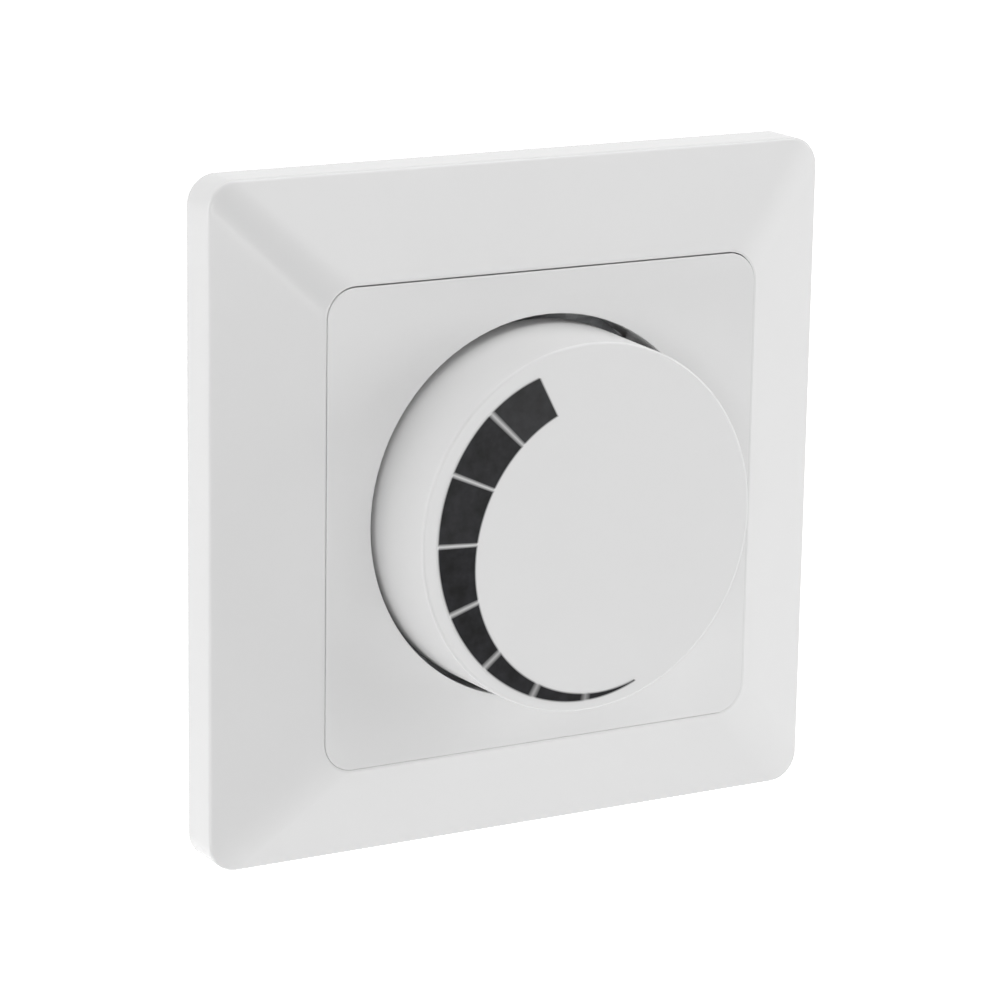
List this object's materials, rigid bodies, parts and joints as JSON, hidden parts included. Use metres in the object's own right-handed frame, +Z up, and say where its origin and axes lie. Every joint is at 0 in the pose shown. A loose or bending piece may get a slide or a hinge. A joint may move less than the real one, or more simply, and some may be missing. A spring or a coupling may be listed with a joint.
{
  "type": "dimmer switch",
  "caption": "Square wall dimmer with a sloping frame, a flush centre plate and a round push-and-turn knob with a printed level scale, on a steel plate with a rear housing.",
  "frame": {"origin": "on the knob's axis, on the wall plane, midway between the two slots for the box screws", "axes": "+X to the right seen from the front, +Y into the wall, +Z up; the knob faces -Y"},
  "size_m": [0.08, 0.0489, 0.08],
  "materials": {
    "white_plastic": "satin white moulding",
    "print_ink": "dark grey pad print",
    "galvanised_steel": "zinc-plated sheet",
    "bright_steel": "plated, smooth",
    "brass": "turned",
    "contact_bronze": "stamped",
    "tinned_brass": "tin plated",
    "black_moulding": "matt moulding",
    "phenolic": "laminated board",
    "natural_nylon": "natural nylon",
    "grey_moulding": "matt moulding",
    "board_laminate": "lacquered laminate",
    "thermal_pad": "silicone pad",
    "powder_core": "lacquered powder core",
    "copper_wire": "enamelled wire",
    "capacitor_case": "filled plastic case",
    "resistor_body": "lacquered",
    "fuse_glass": "clear"
  },
  "bodies": {
    "root": {"cover_frame": "white_plastic", "centre_plate": "white_plastic", "mounting_plate": "galvanised_steel", "control_bush": "brass", "bush_washer": "galvanised_steel", "bush_nut": "brass", "pot_housing": "black_moulding", "track_wafer": "phenolic", "track_terminals": "tinned_brass", "switch_body": "black_moulding", "switch_base": "phenolic", "fixed_contacts": "contact_bronze", "return_spring": "bright_steel", "rear_housing": "grey_moulding", "housing_screws": "bright_steel", "circuit_board": "board_laminate", "triac": "black_moulding", "insulating_pad": "thermal_pad", "triac_screw": "bright_steel", "triac_nut": "bright_steel", "choke_core": "powder_core", "choke_winding": "copper_wire", "filter_capacitor": "capacitor_case", "timing_capacitor": "capacitor_case", "resistors": "resistor_body", "diac": "resistor_body", "fuse_tube": "fuse_glass", "fuse_caps": "tinned_brass", "fuse_clips": "tinned_brass", "terminal_block": "black_moulding", "terminal_clamps": "brass", "terminal_screws": "bright_steel"},
    "rotor": {"wiper_rotor": "natural_nylon", "wiper": "contact_bronze"},
    "knob": {"knob": "white_plastic", "level_scale": "print_ink", "control_shaft": "bright_steel"},
    "plunger": {"switch_plunger": "natural_nylon", "moving_contact": "contact_bronze"}
  },
  "joints": [
    {"name": "knob_turn", "type": "hinge", "parent": "root", "child": "rotor", "pos_m": [0, 0, 0], "axis": [0, 1, 0], "range_deg": [-135, 135]},
    {"name": "knob_push", "type": "slide", "parent": "rotor", "child": "knob", "axis": [0, 1, 0], "range_m": [0, 0.0012], "stiffness_N_per_m": 1500, "springref_m": -0.001},
    {"name": "plunger_push", "type": "slide", "parent": "root", "child": "plunger", "axis": [0, 1, 0], "range_m": [0, 0.0012], "deforming": ["return_spring"]}
  ],
  "couplings": [
    {"joint": "plunger_push", "follows": "knob_push", "ratio": 1}
  ]
}
